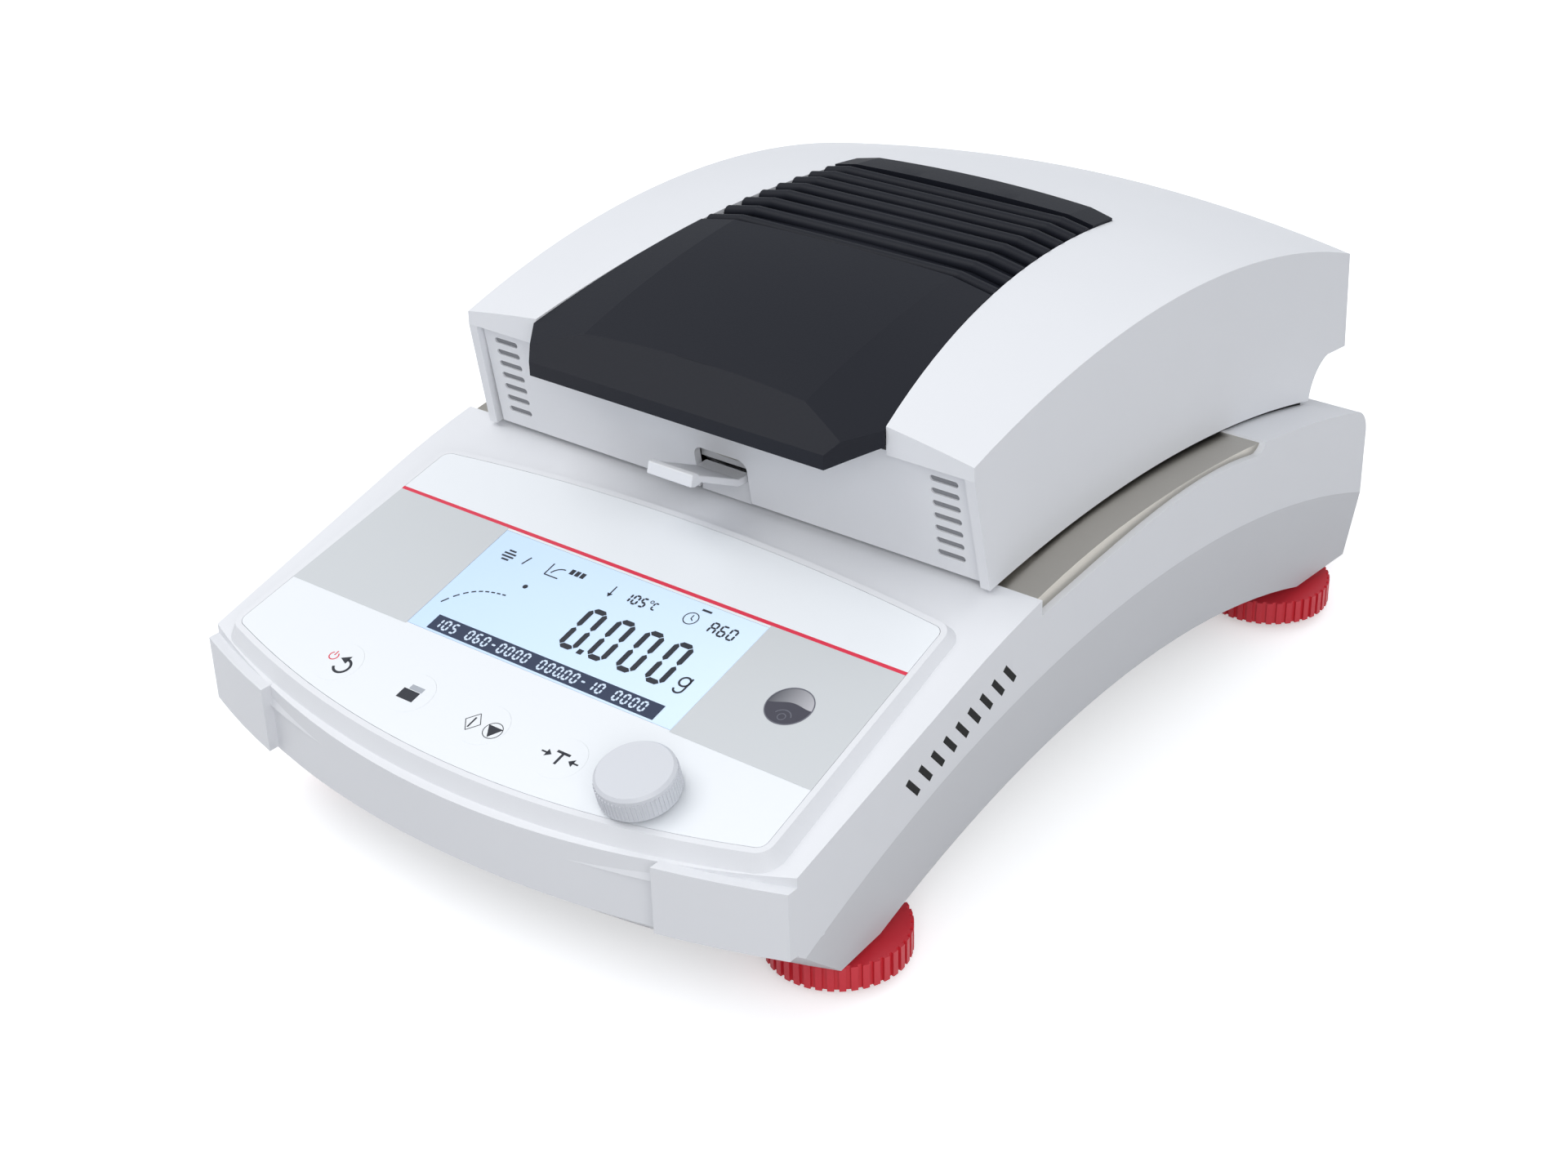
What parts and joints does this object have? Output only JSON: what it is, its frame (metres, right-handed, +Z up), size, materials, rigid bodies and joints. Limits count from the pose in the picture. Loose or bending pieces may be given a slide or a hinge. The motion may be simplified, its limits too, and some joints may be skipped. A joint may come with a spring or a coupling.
{
  "type": "moisture analyzer",
  "caption": "Bench moisture analyzer: arched case with keypad and display, levelling feet and a hinged halogen heating hood over a weighing pan.",
  "frame": {"origin": "centre of the footprint on the table", "axes": "+X to the operator's right, +Y to the back, +Z up"},
  "size_m": [0.208, 0.321, 0.1438],
  "materials": {
    "white_abs": "fine satin",
    "grey_abs": "fine satin",
    "black_abs": "fine satin",
    "red_plastic": "satin",
    "rubber": "matte",
    "overlay_film": "printed film",
    "display_glass": "clear hard coat",
    "glass": "clear",
    "stainless": "brushed",
    "aluminium": "pressed foil",
    "pcb": "solder mask",
    "steel": "turned",
    "knob_plastic": "satin",
    "mirror": "polished reflector",
    "lamp_glass": "clear quartz"
  },
  "bodies": {
    "base": {"base_lower_housing": "grey_abs", "base_upper_housing": "white_abs", "panel_overlay": "overlay_film", "lcd_window": "display_glass", "lcd_module": "black_abs", "level_vial": "glass", "main_board": "pcb", "encoder_body": "steel", "chamber_liner": "stainless", "heat_shield": "stainless", "pan_support": "stainless", "load_cell": "aluminium", "load_cell_mount": "aluminium", "power_supply": "steel", "hinge_block_left": "steel", "hinge_block_right": "steel", "hinge_pin_left": "steel", "hinge_pin_right": "steel", "socket_plate": "black_abs", "mains_inlet": "black_abs", "serial_port": "steel", "usb_port": "steel"},
    "hood": {"hood_shell": "white_abs", "hood_top_cover": "black_abs", "hood_front_panel": "white_abs", "hood_inner_frame": "stainless", "protective_glass": "glass", "reflector": "mirror", "halogen_lamp": "lamp_glass", "lamp_holder_left": "grey_abs", "lamp_holder_right": "grey_abs", "temperature_sensor": "steel", "hinge_arm_left": "steel", "hinge_arm_right": "steel"},
    "pan_set": {"pan_handler": "white_abs", "sample_pan": "aluminium"},
    "plunger": {"encoder_plunger": "steel"},
    "knob": {"control_knob": "knob_plastic"},
    "key_power": {"key_power": "overlay_film"},
    "key_print": {"key_print": "overlay_film"},
    "key_start": {"key_start": "overlay_film"},
    "key_tare": {"key_tare": "overlay_film"},
    "pad_front_right": {"foot_pad_front_right": "rubber"},
    "wheel_front_right": {"foot_wheel_front_right": "red_plastic"},
    "pad_front_left": {"foot_pad_front_left": "rubber"},
    "wheel_front_left": {"foot_wheel_front_left": "red_plastic"},
    "pad_rear_right": {"foot_pad_rear_right": "rubber"},
    "wheel_rear_right": {"foot_wheel_rear_right": "red_plastic"},
    "pad_rear_left": {"foot_pad_rear_left": "rubber"},
    "wheel_rear_left": {"foot_wheel_rear_left": "red_plastic"}
  },
  "joints": [
    {"name": "hood_hinge", "type": "hinge", "parent": "base", "child": "hood", "pos_m": [0, 0.144, 0.061], "axis": [-1, 0, 0], "range_deg": [0, 80]},
    {"name": "pan_lift", "type": "slide", "parent": "base", "child": "pan_set", "axis": [0, 0, 1], "range_m": [0, 0.005]},
    {"name": "knob_push", "type": "slide", "parent": "base", "child": "plunger", "axis": [0, 0.2533, -0.9674], "range_m": [0, 0.0008], "stiffness_N_per_m": 800, "springref_m": -0.001},
    {"name": "knob_turn", "type": "hinge", "parent": "plunger", "child": "knob", "pos_m": [0.055, -0.14016, 0.0619], "axis": [0, -0.2533, 0.9674], "continuous": true},
    {"name": "key_power_press", "type": "slide", "parent": "base", "child": "key_power", "axis": [0, 0.2533, -0.9674], "range_m": [0, 0.0004], "stiffness_N_per_m": 800, "springref_m": -0.0005},
    {"name": "key_print_press", "type": "slide", "parent": "base", "child": "key_print", "axis": [0, 0.2533, -0.9674], "range_m": [0, 0.0004], "stiffness_N_per_m": 800, "springref_m": -0.0005},
    {"name": "key_start_press", "type": "slide", "parent": "base", "child": "key_start", "axis": [0, 0.2533, -0.9674], "range_m": [0, 0.0004], "stiffness_N_per_m": 800, "springref_m": -0.0005},
    {"name": "key_tare_press", "type": "slide", "parent": "base", "child": "key_tare", "axis": [0, 0.2533, -0.9674], "range_m": [0, 0.0004], "stiffness_N_per_m": 800, "springref_m": -0.0005},
    {"name": "foot_front_right_rise", "type": "slide", "parent": "base", "child": "pad_front_right", "axis": [0, 0, 1], "range_m": [-0.006, 0]},
    {"name": "foot_front_right_turn", "type": "hinge", "parent": "pad_front_right", "child": "wheel_front_right", "pos_m": [0.084, -0.0995, 0.007], "axis": [0, 0, 1], "range_deg": [-2690, 0]},
    {"name": "foot_front_left_rise", "type": "slide", "parent": "base", "child": "pad_front_left", "axis": [0, 0, 1], "range_m": [-0.006, 0]},
    {"name": "foot_front_left_turn", "type": "hinge", "parent": "pad_front_left", "child": "wheel_front_left", "pos_m": [-0.084, -0.0995, 0.007], "axis": [0, 0, 1], "range_deg": [-2690, 0]},
    {"name": "foot_rear_right_rise", "type": "slide", "parent": "base", "child": "pad_rear_right", "axis": [0, 0, 1], "range_m": [-0.006, 0]},
    {"name": "foot_rear_right_turn", "type": "hinge", "parent": "pad_rear_right", "child": "wheel_rear_right", "pos_m": [0.084, 0.1315, 0.007], "axis": [0, 0, 1], "range_deg": [-2690, 0]},
    {"name": "foot_rear_left_rise", "type": "slide", "parent": "base", "child": "pad_rear_left", "axis": [0, 0, 1], "range_m": [-0.006, 0]},
    {"name": "foot_rear_left_turn", "type": "hinge", "parent": "pad_rear_left", "child": "wheel_rear_left", "pos_m": [-0.084, 0.1315, 0.007], "axis": [0, 0, 1], "range_deg": [-2690, 0]}
  ],
  "couplings": [
    {"joint": "foot_front_right_rise", "follows": "foot_front_right_turn", "m_per_rad": 0.00012732},
    {"joint": "foot_front_left_rise", "follows": "foot_front_left_turn", "m_per_rad": 0.00012732},
    {"joint": "foot_rear_right_rise", "follows": "foot_rear_right_turn", "m_per_rad": 0.00012732},
    {"joint": "foot_rear_left_rise", "follows": "foot_rear_left_turn", "m_per_rad": 0.00012732}
  ]
}
